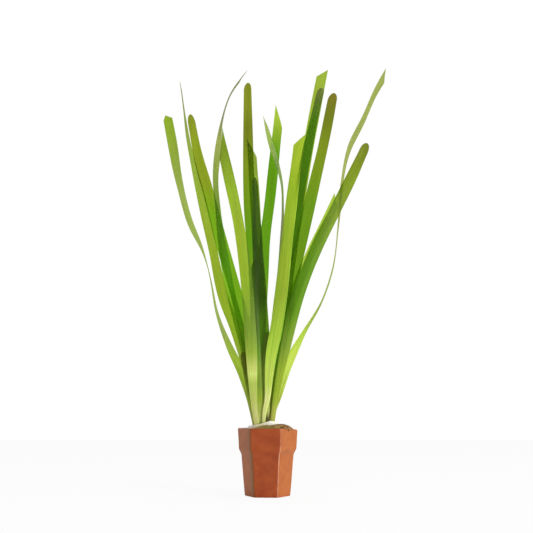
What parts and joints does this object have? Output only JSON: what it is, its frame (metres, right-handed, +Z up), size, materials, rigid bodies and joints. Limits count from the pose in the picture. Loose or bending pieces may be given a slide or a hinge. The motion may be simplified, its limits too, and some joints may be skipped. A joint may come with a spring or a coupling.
{
  "type": "potted tape grass",
  "caption": "Potted water plant: long ribbon leaves fan out of a mineral wool plug in a small hexagonal terracotta pot that stands on its flat foot.",
  "frame": {"origin": "centre of the pot's flat foot, on the surface that the pot stands on", "axes": "+Z up along the pot's axis, -Y towards the front of the leaf fan, +X towards its right side"},
  "size_m": [0.2195, 0.1061, 0.4087],
  "materials": {
    "clay": null,
    "wool": "wet mineral wool, olive brown, fibrous",
    "foam": "pale grey foam strip, damp and matte",
    "crown": "pale green plant tissue, moist",
    "leaf": null
  },
  "bodies": {
    "root": {"pot": "clay", "wool_plug": "wool", "foam_wrap": "foam", "crown_left": "crown", "crown_right": "crown", "leaf_front_left": "leaf", "leaf_front_right": "leaf", "leaf_dark_short": "leaf", "leaf_short_right": "leaf", "leaf_short_left": "leaf", "leaf_dark_middle": "leaf", "leaf_arched": "leaf", "leaf_right_olive": "leaf", "leaf_left_olive": "leaf", "leaf_olive_tip": "leaf", "leaf_middle_olive": "leaf", "leaf_twisted": "leaf", "leaf_bright_pointed": "leaf", "leaf_tall_dark": "leaf", "leaf_middle_behind": "leaf", "leaf_right_behind": "leaf", "leaf_left_needle": "leaf", "leaf_far_right": "leaf", "leaf_far_left": "leaf", "leaf_tall_cut": "leaf"}
  },
  "joints": []
}
